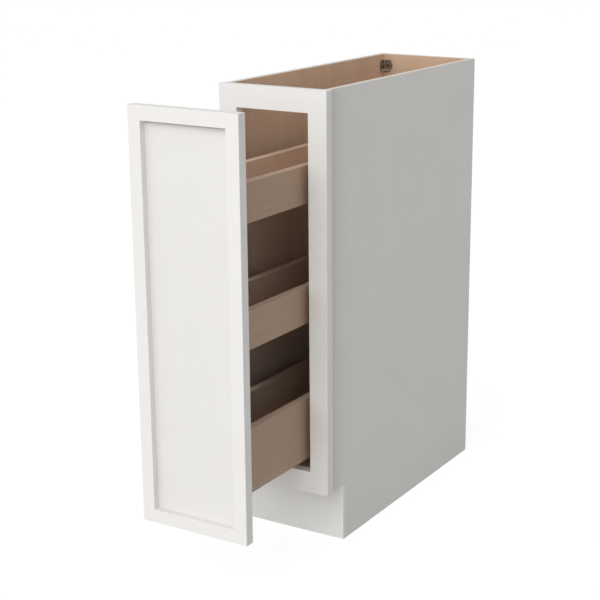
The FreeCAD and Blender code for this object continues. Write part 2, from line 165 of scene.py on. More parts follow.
# Birch under clear matt varnish: pinkish tan with broad pale bands, hair-fine fibres along the grain and
# short darker flecks. Veneer is cut round the log and shows wide bands; the solid boards are straighter.
veneerLook = {
    "light": "#D6BAA2",
    "dark": "#CBAE94",
    "fleck": "#B5967D",
    "band": (600 * mm, 34 * mm),     # length along the grain, width across it
    "fibre": (60 * mm, 1.3 * mm),
    "flecks": (6 * mm, 0.6 * mm),
    "fibreShare": 0.45,
    "streakRange": (0.34, 0.66),     # from the light tone to the dark one
    "fleckRange": (0.66, 0.78),      # only the peaks of the pattern become flecks
    "fleckShare": 0.55,
    "gloss": (0.46, 0.60),
    "fibreDepth": 0.03 * mm,
    "fibreStrength": 0.5,
}
boardLook = dict(veneerLook, light="#B39882", dark="#AE927B", fleck="#A1846E", band=(900 * mm, 14 * mm),
                 fibreDepth=0.012 * mm)
litEdgeLook = dict(boardLook, light="#C4A690", dark="#BD9E89")      # painted light: paler long edges, standing in for the light on the tray tops


def birch(name, look):
    material, tree = startMaterial(name)
    grain = addNode(tree, "ShaderNodeAttribute", attribute_name="grain").outputs["Vector"]
    tone = addNode(tree, "ShaderNodeAttribute", attribute_name="tone").outputs["Vector"]
    level = addNode(tree, "ShaderNodeSeparateXYZ", {0: tone}).outputs
    pattern = {}
    for key, detail in (("band", 2.0), ("fibre", 4.0), ("flecks", 0.0)):
        length, width = look[key]
        stretched = addNode(tree, "ShaderNodeVectorMath", {0: grain, 1: (1 / length, 1 / width, 1 / width)},
                            operation="MULTIPLY")
        pattern[key] = addNode(tree, "ShaderNodeTexNoise", {"Vector": stretched.outputs[0], "Scale": 1.0,
                                                            "Detail": detail}).outputs[0]
    streak = addNode(tree, "ShaderNodeMix", {0: look["fibreShare"], 2: pattern["band"], 3: pattern["fibre"]})
    spread = addNode(tree, "ShaderNodeMapRange",
                     {"Value": streak.outputs[0], "From Min": look["streakRange"][0],
                      "From Max": look["streakRange"][1]})
    wood = addNode(tree, "ShaderNodeMix", {0: spread.outputs[0], 6: linear(look["light"]),
                                           7: linear(look["dark"])}, data_type="RGBA")
    fleck = addNode(tree, "ShaderNodeMapRange",
                    {"Value": pattern["flecks"], "From Min": look["fleckRange"][0],
                     "From Max": look["fleckRange"][1], "To Max": look["fleckShare"]})
    flecked = addNode(tree, "ShaderNodeMix", {0: fleck.outputs[0], 6: wood.outputs[2],
                                              7: linear(look["fleck"])}, data_type="RGBA")
    toned = addNode(tree, "ShaderNodeHueSaturation", {"Value": level[0], "Saturation": level[1],
                                                      "Color": flecked.outputs[2]})
    gloss = addNode(tree, "ShaderNodeMapRange",
                    {"Value": pattern["fibre"], "From Min": noiseRange[0], "From Max": noiseRange[1],
                     "To Min": look["gloss"][0], "To Max": look["gloss"][1]})
    bump = addNode(tree, "ShaderNodeBump", {"Strength": look["fibreStrength"], "Distance": look["fibreDepth"],
                                            "Height": pattern["fibre"]})
    return endMaterial(material, {"IOR": 1.46, "Base Color": toned.outputs[0], "Roughness": gloss.outputs[0],
                                  "Normal": bump.outputs[0]})


# Sawn edge of birch plywood: pale long-grain plies and darker end-grain plies in turn, with a rough cut
plyLook = {
    "light": "#E6DFD5",
    "dark": "#D1C4B4",
    "ply": 12.7 * mm / 9,            # nine plies in the half inch board
    "glueLine": 0.25,                # how softly one ply turns into the next
    "speck": 0.7 * mm,
    "cutDepth": 0.05 * mm,
    "cutStrength": 0.5,
}


def birchPlyEdge():
    look = plyLook
    material, tree = startMaterial("birchPlyEdge")
    grain = addNode(tree, "ShaderNodeAttribute", attribute_name="grain").outputs["Vector"]
    depth = addNode(tree, "ShaderNodeSeparateXYZ", {0: grain}).outputs[2]
    turn = addNode(tree, "ShaderNodeMath", {0: depth, 1: math.pi / look["ply"]}, operation="MULTIPLY")
    wave = addNode(tree, "ShaderNodeMath", {0: turn.outputs[0]}, operation="SINE")
    layer = addNode(tree, "ShaderNodeMapRange",
                    {"Value": wave.outputs[0], "From Min": -look["glueLine"], "From Max": look["glueLine"]})
    speck = addNode(tree, "ShaderNodeTexNoise",
                    {"Vector": grain, "Scale": 1 / look["speck"], "Detail": 2.0})
    share = addNode(tree, "ShaderNodeMath", {0: layer.outputs[0], 1: speck.outputs[0]}, operation="MULTIPLY")
    colour = addNode(tree, "ShaderNodeMix", {0: share.outputs[0], 6: linear(look["light"]),
                                             7: linear(look["dark"])}, data_type="RGBA")
    bump = addNode(tree, "ShaderNodeBump", {"Strength": look["cutStrength"], "Distance": look["cutDepth"],
                                            "Height": speck.outputs[0]})
    return endMaterial(material, {"Roughness": 0.68, "IOR": 1.45, "Base Color": colour.outputs[2],
                                  "Normal": bump.outputs[0]})


# End grain of a birch board: darker, with growth rings in shallow arcs and open pores
endGrainLook = {
    "light": "#B8977F",
    "dark": "#9C7C66",
    "ring": 2.6 * mm,
    "ringScale": 0.05,               # a wave texture's scale for rings one metre apart
    "pore": 0.5 * mm,
    "poreShare": 0.4,
}


def endGrain():
    look = endGrainLook
    material, tree = startMaterial("birchEndGrain")
    grain = addNode(tree, "ShaderNodeAttribute", attribute_name="grain").outputs["Vector"]
    rings = addNode(tree, "ShaderNodeTexWave",
                    {"Vector": grain, "Scale": look["ringScale"] / look["ring"], "Distortion": 2.0,
                     "Detail": 1.0, "Detail Scale": 1.5}, wave_type="RINGS", rings_direction="X")
    pores = addNode(tree, "ShaderNodeTexNoise", {"Vector": grain, "Scale": 1 / look["pore"]})
    share = addNode(tree, "ShaderNodeMix", {0: look["poreShare"], 2: rings.outputs[1], 3: pores.outputs[0]})
    colour = addNode(tree, "ShaderNodeMix", {0: share.outputs[0], 6: linear(look["light"]),
                                             7: linear(look["dark"])}, data_type="RGBA")
    return endMaterial(material, {"Roughness": 0.72, "IOR": 1.45, "Base Color": colour.outputs[2]})


# Beech, turned and left bare: pale orange brown with short dark flecks along the peg
beechLook = {
    "pale": "#D9B48F",
    "fleck": "#B88E69",
    "fleckSize": 1.2 * mm,
    "fibre": 0.7 * mm,
    "fibreDepth": 0.05 * mm,
    "fibreStrength": 0.4,
}


def bareBeech():
    look = beechLook
    material, tree = startMaterial("bareBeech")
    place = addNode(tree, "ShaderNodeTexCoord").outputs["Object"]
    flecks = addNode(tree, "ShaderNodeTexNoise",
                     {"Vector": place, "Scale": 1 / look["fleckSize"], "Detail": 3.0})
    colour = addNode(tree, "ShaderNodeMix", {0: flecks.outputs[0], 6: linear(look["pale"]),
                                             7: linear(look["fleck"])}, data_type="RGBA")
    fine = addNode(tree, "ShaderNodeTexNoise", {"Vector": place, "Scale": 1 / look["fibre"]})
    bump = addNode(tree, "ShaderNodeBump", {"Strength": look["fibreStrength"], "Distance": look["fibreDepth"],
                                            "Height": fine.outputs[0]})
    return endMaterial(material, {"Roughness": 0.62, "IOR": 1.46, "Base Color": colour.outputs[2],
                                  "Normal": bump.outputs[0]})


# Metals: zinc-plated rolled strip is a cool grey with drawn lines along the rail, stamped cage strip is
# duller, the balls are ground bright, screws are plated or browned. A line is a length and a width.
metalLooks = {
    "zincPlatedStrip": {"light": "#C9CCD0", "dark": "#A9ADB3", "gloss": (0.26, 0.40),
                        "line": (80 * mm, 0.5 * mm)},
    "stampedCageStrip": {"light": "#B3B3B1", "dark": "#8F8F8C", "gloss": (0.34, 0.50),
                         "line": (6 * mm, 3 * mm)},
    "groundBallSteel": {"light": "#D4D5D8", "dark": "#C4C5C9", "gloss": (0.06, 0.12),
                        "line": (1 * mm, 1 * mm)},
    "zincPlatedScrew": {"light": "#CACAC6", "dark": "#A4A49F", "gloss": (0.24, 0.42),
                        "line": (2 * mm, 2 * mm)},
    "brownedScrew": {"light": "#8F7863", "dark": "#75614F", "gloss": (0.50, 0.62),
                     "line": (2 * mm, 2 * mm)},
}


def metal(name):
    look = metalLooks[name]
    length, width = look["line"]
    material, tree = startMaterial(name)
    place = addNode(tree, "ShaderNodeTexCoord").outputs["Object"]
    stretched = addNode(tree, "ShaderNodeVectorMath", {0: place, 1: (1 / width, 1 / length, 1 / width)},
                        operation="MULTIPLY")
    lines = addNode(tree, "ShaderNodeTexNoise",
                    {"Vector": stretched.outputs[0], "Scale": 1.0, "Detail": 3.0})
    colour = addNode(tree, "ShaderNodeMix", {0: lines.outputs[0], 6: linear(look["light"]),
                                             7: linear(look["dark"])}, data_type="RGBA")
    gloss = addNode(tree, "ShaderNodeMapRange",
                    {"Value": lines.outputs[0], "From Min": noiseRange[0], "From Max": noiseRange[1],
                     "To Min": look["gloss"][0], "To Max": look["gloss"][1]})
    return endMaterial(material, {"Metallic": 1.0, "Base Color": colour.outputs[2],
                                  "Roughness": gloss.outputs[0]})


# Nylon, moulded dark brown: low sheen with the fine spark-eroded texture of the mould. A painted highlight
# makes the web's top and the rib in the corner a paler grey brown.
nylonLook = {
    "brown": "#675848",
    "pale": "#766655",
    "grit": 0.6 * mm,
    "gritDepth": 0.02 * mm,
    "gritStrength": 0.6,
}
highlightLook = dict(nylonLook, brown="#9A8B77", pale="#A89983")


def mouldedNylon(name, look):
    material, tree = startMaterial(name)
    place = addNode(tree, "ShaderNodeTexCoord").outputs["Object"]
    grit = addNode(tree, "ShaderNodeTexNoise", {"Vector": place, "Scale": 1 / look["grit"], "Detail": 2.0})
    colour = addNode(tree, "ShaderNodeMix", {0: grit.outputs[0], 6: linear(look["brown"]),
                                             7: linear(look["pale"])}, data_type="RGBA")
    bump = addNode(tree, "ShaderNodeBump", {"Strength": look["gritStrength"], "Distance": look["gritDepth"],
                                            "Height": grit.outputs[0]})
    return endMaterial(material, {"Roughness": 0.38, "IOR": 1.53, "Base Color": colour.outputs[2],
                                  "Normal": bump.outputs[0]})


# Polyurethane pad, cast clear: milky and soft at the rim
padLook = {
    "clear": "#F1F0EA",
    "milky": "#DEDCD3",
    "cloudSize": 3 * mm,
}


def castPolyurethane():
    look = padLook
    material, tree = startMaterial("castPolyurethane")
    place = addNode(tree, "ShaderNodeTexCoord").outputs["Object"]
    cloud = addNode(tree, "ShaderNodeTexNoise", {"Vector": place, "Scale": 1 / look["cloudSize"]})
    colour = addNode(tree, "ShaderNodeMix", {0: cloud.outputs[0], 6: linear(look["clear"]),
                                             7: linear(look["milky"])}, data_type="RGBA")
    return endMaterial(material, {"Roughness": 0.22, "IOR": 1.5, "Transmission Weight": 0.12,
                                  "Base Color": colour.outputs[2]})


framePaint = satinLacquer("satinLacquerOnFrame", lacquerLook)
# the side panels carry a painted shadow behind the frame's lip, the door panel a painted shadow under its top
# rail
sidePaint = satinLacquer("satinLacquerOnSides", sideLook, paintedShadows["shadowBehindFrame"])
doorPaint = satinLacquer("satinLacquerOnDoor", doorLook)
recessShadePaint = satinLacquer("satinLacquerInRecess", recessShadeLook)
panelPaint = satinLacquer("satinLacquerOnPanel", recessShadeLook, paintedShadows["shadowUnderRail"])
birchVeneer = birch("varnishedBirchVeneer", veneerLook)
birchBoard = birch("varnishedBirchBoard", boardLook)
litBirchEdge = birch("varnishedBirchEdge", litEdgeLook)
plyEdge = birchPlyEdge()
boardEnd = endGrain()
dowelBeech = bareBeech()
metals = {name: metal(name) for name in metalLooks}
legNylon = mouldedNylon("mouldedNylon", nylonLook)
highlightNylon = mouldedNylon("mouldedNylonPale", highlightLook)
padRubber = castPolyurethane()
print("materials:", len(bpy.data.materials))

# Shapes copied from the frame: merged shells with their long edges eased
shellStyle = {
    "mergeGap": 0.002 * mm,
    "flatAngle": 0.4,          # degrees: faces flatter than this to each other become one
    "sharpAngle": 55,          # degrees: convex edges sharper than this are eased
    "shortestEdge": 7 * mm,    # hole rims and shorter edges stay crisp
    "smoothAngle": 32,         # degrees: softer edges shade smooth
    "segments": 3,
    "roundness": 0.5,          # of the easing's profile, where a half is a round
}


def pieceName(node):
    first, *others = node.split("_")
    return first + "".join(word.title() for word in others)


def easedShell(node, ease, fillet=0.0):
    shell = bmesh.new()
    shell.from_mesh(nodes[node].data)
    bmesh.ops.remove_doubles(shell, verts=shell.verts, dist=shellStyle["mergeGap"])
    bmesh.ops.dissolve_limit(shell, angle_limit=math.radians(shellStyle["flatAngle"]), verts=shell.verts,
                             edges=shell.edges)
    for convex, width in ((False, fillet), (True, ease)):
        if width:
            sharp = [edge for edge in shell.edges
                     if edge.is_convex == convex and edge.calc_length() > shellStyle["shortestEdge"]
                     and edge.calc_face_angle() > math.radians(shellStyle["sharpAngle"])]
            bmesh.ops.bevel(shell, geom=sharp, offset=width, offset_type="OFFSET", affect="EDGES",
                            profile=shellStyle["roundness"], segments=shellStyle["segments"],
                            clamp_overlap=True)
    return shell


def newPiece(name, shell, materials):
    mesh = bpy.data.meshes.new(name)
    shell.to_mesh(mesh)
    shell.free()
    for material in materials:
        mesh.materials.append(material)
    mesh.shade_smooth()
    mesh.set_sharp_from_angle(angle=math.radians(shellStyle["smoothAngle"]))
    piece = bpy.data.objects.new(name, mesh)
    bpy.context.scene.collection.objects.link(piece)
    weigh = piece.modifiers.new("flatFacesStayFlat", "WEIGHTED_NORMAL")
    weigh.keep_sharp = True
    plain(piece)
    return piece


def plain(piece):
    # the evaluated result as a plain mesh, with no modifier left
    graph = bpy.context.evaluated_depsgraph_get()
    mesh = bpy.data.meshes.new_from_object(piece.evaluated_get(graph))
    piece.modifiers.clear()
    piece.data = mesh
    mesh.name = piece.name


def settle(piece, node):
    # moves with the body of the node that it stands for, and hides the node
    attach(piece, bodyOf[node])
    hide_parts(node)


# Boards: each keeps its joinery from the frame, its own grain direction and a material for each kind of face
finishes = {
    "framePainted": {"face": framePaint, "side": framePaint, "end": framePaint},
    "doorPainted": {"face": doorPaint, "side": doorPaint, "end": doorPaint},
    "panelPainted": {"face": panelPaint, "side": panelPaint, "end": panelPaint},
    "plywood": {"face": birchVeneer, "side": plyEdge, "end": plyEdge},
    "solid": {"face": birchBoard, "side": litBirchEdge, "end": boardEnd},
}
# tones: an axis, then brightness and warmth at its low end and at its high end
plainTones = ("z", (1.0, 1.0), (1.0, 1.0))
greyTones = ("z", (1.0, 0.85), (1.0, 0.85))
# painted shade: the side panels' veneer runs much darker and greyer towards the bottom of the cabinet
sideShadeTones = ("z", (0.42, 0.50), (1.20, 1.0))
# painted shade: the back panel's veneer greys towards the bottom
backShadeTones = ("z", (0.97, 0.9), (0.97, 1.08))
boards = {
    "left_side_panel": {"finish": "plywood", "grain": "z", "painted": {"-x": sidePaint}, "tones": sideShadeTones},
    "right_side_panel": {"finish": "plywood", "grain": "z", "painted": {"+x": sidePaint}, "tones": sideShadeTones},
    "back_panel": {"finish": "plywood", "grain": "z", "tones": backShadeTones},
    "cabinet_floor": {"finish": "plywood", "grain": "y"},
    "toe_kick_board": {"finish": "plywood", "grain": "x",
                       "painted": {"-y": framePaint, "-x": framePaint, "+x": framePaint}},
    "left_runner_cleat": {"finish": "plywood", "grain": "y"},
    "right_runner_cleat": {"finish": "plywood", "grain": "y"},
    "frame_left_stile": {"finish": "framePainted", "grain": "z"},
    "frame_right_stile": {"finish": "framePainted", "grain": "z"},
    "frame_top_rail": {"finish": "framePainted", "grain": "x"},
    "frame_bottom_rail": {"finish": "framePainted", "grain": "x"},
    # the walls of the door's recess take the darker white, a painted shade
    "door_left_stile": {"finish": "doorPainted", "grain": "z", "painted": {"+x": recessShadePaint}},
    "door_right_stile": {"finish": "doorPainted", "grain": "z", "painted": {"-x": recessShadePaint}},
    "door_top_rail": {"finish": "doorPainted", "grain": "x", "painted": {"-z": recessShadePaint}},
    "door_bottom_rail": {"finish": "doorPainted", "grain": "x", "painted": {"+z": recessShadePaint}},
    "door_panel": {"finish": "panelPainted", "grain": "z"},
    "rack_front_board": {"finish": "solid", "grain": "z", "tones": greyTones},
    "rack_rear_board": {"finish": "solid", "grain": "z", "tones": greyTones},
}
# painted light and shade: the top tray's left board far paler on its inner face, the lower trays' left boards
# darker
trayLightTones = {
    "top": {"left": (1.62, 0.85), "right": (1.0, 1.0)},
    "middle": {"left": (1.12, 0.75), "right": (0.96, 1.0)},
    "bottom": {"left": (0.90, 0.75), "right": (0.98, 1.0)},
}
trayLeftFace = (1.0, 0.9)        # the left faces are all alike, the tones above are those of the right faces
for tray, tones in trayLightTones.items():
    for side, tone in tones.items():
        boards[tray + "_tray_" + side + "_side"] = {"finish": "solid", "grain": "y",
                                                    "tones": ("x", trayLeftFace, tone)}
    boards[tray + "_tray_floor"] = {"finish": "plywood", "grain": "y", "tones": greyTones}
boardStyle = {
    "ease": {"framePainted": 0.12 * mm, "doorPainted": 0.12 * mm, "panelPainted": 0.12 * mm,
             "plywood": 0.3 * mm, "solid": 0.3 * mm},
    "grainSpread": 3.0,          # metres of log that the boards are cut from
    "toneSpread": 0.05,
}


def dressBoard(node, board):
    finish = finishes[board["finish"]]
    painted = board.get("painted", {})
    low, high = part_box(node)
    size = high - low
    along = "xyz".index(board["grain"])
    through = min(range(3), key=lambda axis: size[axis])
    across = 3 - along - through
    kinds = {along: "end", across: "side", through: "face"}
    materials = list(dict.fromkeys([*finish.values(), *painted.values()]))
    spread = boardStyle["grainSpread"]
    shift = Vector((dice.uniform(0, spread), dice.uniform(0, spread), 0))
    toneShift = dice.uniform(-boardStyle["toneSpread"], boardStyle["toneSpread"])
    axisName, lowTone, highTone = board.get("tones", plainTones)
    toneAxis = "xyz".index(axisName)
    shell = easedShell(node, boardStyle["ease"][board["finish"]])
    grainLayer = shell.verts.layers.float_vector.new("grain")
    toneLayer = shell.verts.layers.float_vector.new("tone")
    for vert in shell.verts:
        place = vert.co - low
        vert[grainLayer] = shift + Vector((place[along], place[across], place[through]))
        share = place[toneAxis] / size[toneAxis]
        brightness, warmth = (a + (b - a) * share for a, b in zip(lowTone, highTone))
        vert[toneLayer] = (brightness + toneShift, warmth, 0.0)
    for face in shell.faces:
        axis = max(range(3), key=lambda i: abs(face.normal[i]))
        side = ("+" if face.normal[axis] > 0 else "-") + "xyz"[axis]
        face.material_index = materials.index(painted.get(side, finish[kinds[axis]]))
    settle(newPiece(pieceName(node), shell, materials), node)


for node, board in boards.items():
    dressBoard(node, board)
print("boards:", len(boards))

# Rails and cages keep the frame's shape, the rails with rolled edges and the cages with crisp ones
runners = {
    "zincPlatedStrip": {"ease": 0.25 * mm, "ends": ("outer_rail", "middle_rail", "inner_rail")},
    "stampedCageStrip": {"ease": 0.0, "ends": ("outer_ball_cage", "inner_ball_cage")},
}
for name, group in runners.items():
    for node in [side + "_" + end for side in ("left", "right") for end in group["ends"]]:
        settle(newPiece(pieceName(node), easedShell(node, group["ease"]), [metals[name]]), node)
print("rails and cages:", 2 * sum(len(group["ends"]) for group in runners.values()))

# Corner brackets: a rib in the corner and dark legs, with a painted highlight on the rib and the web's top
brackets = {
    "corners": ("back_left", "back_right", "front_left", "front_right"),
    "ease": 0.25 * mm,
    "rib": 2.0 * mm,
    "webHeight": 3.0 * mm,       # top faces nearer to the foot than this belong to the web
    "slant": 0.3,                # the slanted edge's normal has at least this much of x and of y
    "upward": 0.5,               # a top face's normal has at least this much of z
}
for corner in brackets["corners"]:
    node = "corner_bracket_" + corner
    shell = easedShell(node, brackets["ease"], brackets["rib"])
    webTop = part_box(node)[0].z + brackets["webHeight"]
    for face in shell.faces:
        slanted = min(abs(face.normal.x), abs(face.normal.y)) > brackets["slant"]
        onWeb = face.normal.z > brackets["upward"] and face.calc_center_median().z < webTop
        # painted highlight: the slanted faces and the web's top take the paler nylon
        face.material_index = 1 if slanted or onWeb else 0
    settle(newPiece(pieceName(node), shell, [legNylon, highlightNylon]), node)
print("brackets:", len(brackets["corners"]))


# Small repeated pieces: their places and sizes are read from the frame's solids
placeDigits = 5          # solids are put in order by places to a hundredth of a millimetre
headShare = 1.05         # corners further out than this share of the shank belong to the head


def islands(node):
    # corners of each separate solid in a node, in the order of the solids' lowest corners
    shell = bmesh.new()
    shell.from_mesh(nodes[node].data)
    bmesh.ops.remove_doubles(shell, verts=shell.verts, dist=shellStyle["mergeGap"])
    found = []
    seen = set()
    for start in shell.verts:
        reach = [] if start in seen else [start]
        seen.add(start)
        corners = []
        while reach:
            vert = reach.pop()
            corners.append(vert.co.copy())
            others = [edge.other_vert(vert) for edge in vert.link_edges]
            reach += [other for other in others if other not in seen]
            seen.update(others)
        if corners:
            found.append(corners)
    shell.free()
    return sorted(found, key=lambda corners: [round(min(c[i] for c in corners), placeDigits)
                                              for i in range(3)])


def measure(corners, slim, wideTop):
    # a turned solid: its top, the way the top looks, its greatest and least radius, the head's depth and
    # its length
    low = Vector(min(c[i] for c in corners) for i in range(3))
    high = Vector(max(c[i] for c in corners) for i in range(3))
    size = high - low
    axis = max(range(3), key=lambda i: size[i]) if slim else min(range(3), key=lambda i: size[i])
    middle = (low + high) / 2
    u, v = (i for i in range(3) if i != axis)
    radius = [math.hypot(c[u] - middle[u], c[v] - middle[v]) for c in corners]
    widest = max(radius)
    upper = max(r for c, r in zip(corners, radius) if c[axis] > middle[axis])
    lower = max(r for c, r in zip(corners, radius) if c[axis] < middle[axis])
    way = 1 if (upper >= lower) == wideTop else -1
    top = middle.copy()
    top[axis] = high[axis] if way > 0 else low[axis]
    shank = min(upper, lower)
    flared = [abs(c[axis] - top[axis]) for c, r in zip(corners, radius) if r > shank * headShare]
    depth = max(flared, default=0.0)
    aim = Vector((0, 0, 0))
    aim[axis] = way
    return {"top": top, "aim": aim, "widest": widest, "shank": shank, "headDepth": depth,
            "length": size[axis]}


def solids(node, slim=True, wideTop=True):
    return [measure(corners, slim, wideTop) for corners in islands(node)]


def middles(found):
    # where each measured solid has its middle, and the way it looks
    return [(one["top"] - one["aim"] * one["length"] / 2, one["aim"]) for one in found]


def startTree(name, sizes):
    # a Geometry Nodes tree on a cloud of points, with one named number for each size
    tree = bpy.data.node_groups.new(name, "GeometryNodeTree")
    tree.is_modifier = True
    tree.interface.new_socket("Geometry", in_out="OUTPUT", socket_type="NodeSocketGeometry")
    tree.interface.new_socket("Points", in_out="INPUT", socket_type="NodeSocketGeometry")
    for size in sizes:
        tree.interface.new_socket(size, in_out="INPUT", socket_type="NodeSocketFloat")
    tree.interface.new_socket("Material", in_out="INPUT", socket_type="NodeSocketMaterial")
    return tree, tree.nodes.new("NodeGroupInput").outputs


def endTree(tree, given, shape):
    # one copy of the shape on every point, turned to its aim, then plain geometry with its material
    cloud = addNode(tree, "GeometryNodeMeshToPoints", {"Mesh": given["Points"]})
    aim = addNode(tree, "GeometryNodeInputNamedAttribute", {"Name": "aim"}, data_type="FLOAT_VECTOR")
    turn = addNode(tree, "FunctionNodeAlignRotationToVector", {"Vector": aim.outputs[0]}, axis="Z")
    copies = addNode(tree, "GeometryNodeInstanceOnPoints", {"Points": cloud.outputs[0], "Instance": shape,
                                                            "Rotation": turn.outputs[0]})
    real = addNode(tree, "GeometryNodeRealizeInstances", {"Geometry": copies.outputs[0]})
    dressed = addNode(tree, "GeometryNodeSetMaterial",
                      {"Geometry": real.outputs[0], "Material": given["Material"]})
    addNode(tree, "NodeGroupOutput", {0: dressed.outputs[0]})
    return tree


def domed(tree, height, style):
    # the places of an upright blank, drawn in towards its axis as they near the top
    place = addNode(tree, "GeometryNodeInputPosition")
    spot = addNode(tree, "ShaderNodeSeparateXYZ", {0: place.outputs[0]})
    rise = addNode(tree, "ShaderNodeMath", {0: spot.outputs[2], 1: height}, operation="DIVIDE")
    share = addNode(tree, "ShaderNodeMath", {0: rise.outputs[0], 1: 0.5}, operation="ADD")
    bulge = addNode(tree, "ShaderNodeMath", {0: share.outputs[0], 1: style["domePower"]}, operation="POWER")
    left = addNode(tree, "ShaderNodeMath", {0: bulge.outputs[0], 1: -style["domeDraw"], 2: 1.0},
                   operation="MULTIPLY_ADD")
    draw = addNode(tree, "ShaderNodeMath", {0: left.outputs[0], 1: style["domeRound"]}, operation="POWER")
    across = addNode(tree, "ShaderNodeCombineXYZ", {0: draw.outputs[0], 1: draw.outputs[0], 2: 1.0})
    return addNode(tree, "ShaderNodeVectorMath", {0: place.outputs[0], 1: across.outputs[0]},
                   operation="MULTIPLY").outputs[0]


def moved(tree, shape, height):
    # a shape set at a height on the axis
    place = addNode(tree, "ShaderNodeCombineXYZ", {2: height})
    return addNode(tree, "GeometryNodeTransform",
                   {"Geometry": shape.outputs[0], "Translation": place.outputs[0]}).outputs[0]


screwStyle = {
    "headSides": 28,
    "shankSides": 16,
    "domeRings": 6,
    "domePower": 3.0,           # a pan head's dome: how late it starts,
    "domeDraw": 0.32,           # how much of the radius it takes off at the top
    "domeRound": 1.0,           # and how round its crown is
    "recessShare": 0.34,        # width of the cross recess, as a share of the head's radius
    "threadShare": 0.8,         # of the shank that is threaded
    "turnSteps": 14,            # corners in one turn of the thread
    "ridgeCorners": 3,
    "smoothAngle": 40,
}
screwParts = {                  # lengths as shares of a given size
    "recessReach": ("Head Radius", 1.15),
    "recessDepth": ("Head Height", 1.2),
    "point": ("Shank Radius", 2.6),
    "threadRoot": ("Shank Radius", 0.92),
    "threadRidge": ("Thread Pitch", 0.2),
}


def screwTree(name, panHead):
    # head with a cross recess, plain shank, coarse thread and point; the head's top is at the origin
    style = screwStyle
    tree, given = startTree(name, ["Head Radius", "Head Height", "Shank Radius", "Length", "Thread Pitch",
                                   "Recess Width"])
    part = {}
    for key, (size, share) in screwParts.items():
        part[key] = addNode(tree, "ShaderNodeMath", {0: given[size], 1: share},
                            operation="MULTIPLY").outputs[0]
    full = addNode(tree, "ShaderNodeMath", {0: given["Head Height"], 1: -1.0}, operation="MULTIPLY")
    if panHead:
        blank = addNode(tree, "GeometryNodeMeshCylinder",
                        {"Vertices": style["headSides"], "Side Segments": style["domeRings"],
                         "Radius": given["Head Radius"], "Depth": given["Head Height"]})
        solid = addNode(tree, "GeometryNodeSetPosition",
                        {"Geometry": blank.outputs[0], "Position": domed(tree, given["Head Height"], style)})
        drop = addNode(tree, "ShaderNodeMath", {0: full.outputs[0], 1: 0.5}, operation="MULTIPLY")
    else:
        solid = addNode(tree, "GeometryNodeMeshCone",
                        {"Vertices": style["headSides"], "Radius Top": given["Head Radius"],
                         "Radius Bottom": given["Shank Radius"], "Depth": given["Head Height"]})
        drop = full
    head = moved(tree, solid, drop.outputs[0])
    cutters = []
    for x, y in ((part["recessReach"], given["Recess Width"]), (given["Recess Width"], part["recessReach"])):
        bar = addNode(tree, "ShaderNodeCombineXYZ", {0: x, 1: y, 2: part["recessDepth"]})
        cutters.append(addNode(tree, "GeometryNodeMeshCube", {"Size": bar.outputs[0]}).outputs[0])
    recessed = addNode(tree, "GeometryNodeMeshBoolean", {"Mesh 1": head, "Mesh 2": cutters},
                       operation="DIFFERENCE", solver="EXACT")
    reach = addNode(tree, "ShaderNodeMath", {0: given["Length"], 1: -1.0}, operation="MULTIPLY")
    tip = addNode(tree, "GeometryNodeMeshCone",
                  {"Vertices": style["shankSides"], "Radius Top": given["Shank Radius"], "Radius Bottom": 0.0,
                   "Depth": part["point"]})
    tipTop = addNode(tree, "ShaderNodeMath", {0: reach.outputs[0], 1: part["point"]}, operation="ADD")
    neck = addNode(tree, "ShaderNodeMath", {0: full.outputs[0], 1: tipTop.outputs[0]}, operation="SUBTRACT")
    ends = addNode(tree, "ShaderNodeMath", {0: full.outputs[0], 1: tipTop.outputs[0]}, operation="ADD")
    middle = addNode(tree, "ShaderNodeMath", {0: ends.outputs[0], 1: 0.5}, operation="MULTIPLY")
    shank = addNode(tree, "GeometryNodeMeshCylinder",
                    {"Vertices": style["shankSides"], "Radius": given["Shank Radius"],
                     "Depth": neck.outputs[0]})
    cut = addNode(tree, "ShaderNodeMath", {0: neck.outputs[0], 1: style["threadShare"]}, operation="MULTIPLY")
    turns = addNode(tree, "ShaderNodeMath", {0: cut.outputs[0], 1: given["Thread Pitch"]}, operation="DIVIDE")
    helix = addNode(tree, "GeometryNodeCurveSpiral",
                    {"Resolution": style["turnSteps"], "Rotations": turns.outputs[0],
                     "Start Radius": part["threadRoot"], "End Radius": part["threadRoot"],
                     "Height": cut.outputs[0]})
    profile = addNode(tree, "GeometryNodeCurvePrimitiveCircle",
                      {"Resolution": style["ridgeCorners"], "Radius": part["threadRidge"]})
    thread = addNode(tree, "GeometryNodeCurveToMesh",
                     {"Curve": helix.outputs[0], "Profile Curve": profile.outputs[0], "Fill Caps": True})
    whole = addNode(tree, "GeometryNodeJoinGeometry",
                    {0: [recessed.outputs[0], moved(tree, shank, middle.outputs[0]),
                         moved(tree, tip, reach.outputs[0]), moved(tree, thread, tipTop.outputs[0])]})
    return endTree(tree, given, whole.outputs[0])


ballStyle = {
    "subdivisions": 3,
    "smoothAngle": 180,
}


def ballTree():
    tree, given = startTree("ballRow", ["Radius"])
    ball = addNode(tree, "GeometryNodeMeshIcoSphere",
                   {"Radius": given["Radius"], "Subdivisions": ballStyle["subdivisions"]})
    return endTree(tree, given, ball.outputs[0])


dowelStyle = {
    "rings": 26,
    "taper": 0.8,               # radius at the chamfered ends, as a share of the peg's
    "flutes": 14,
    "flute": 0.35 * mm,
    "smoothAngle": 20,
}


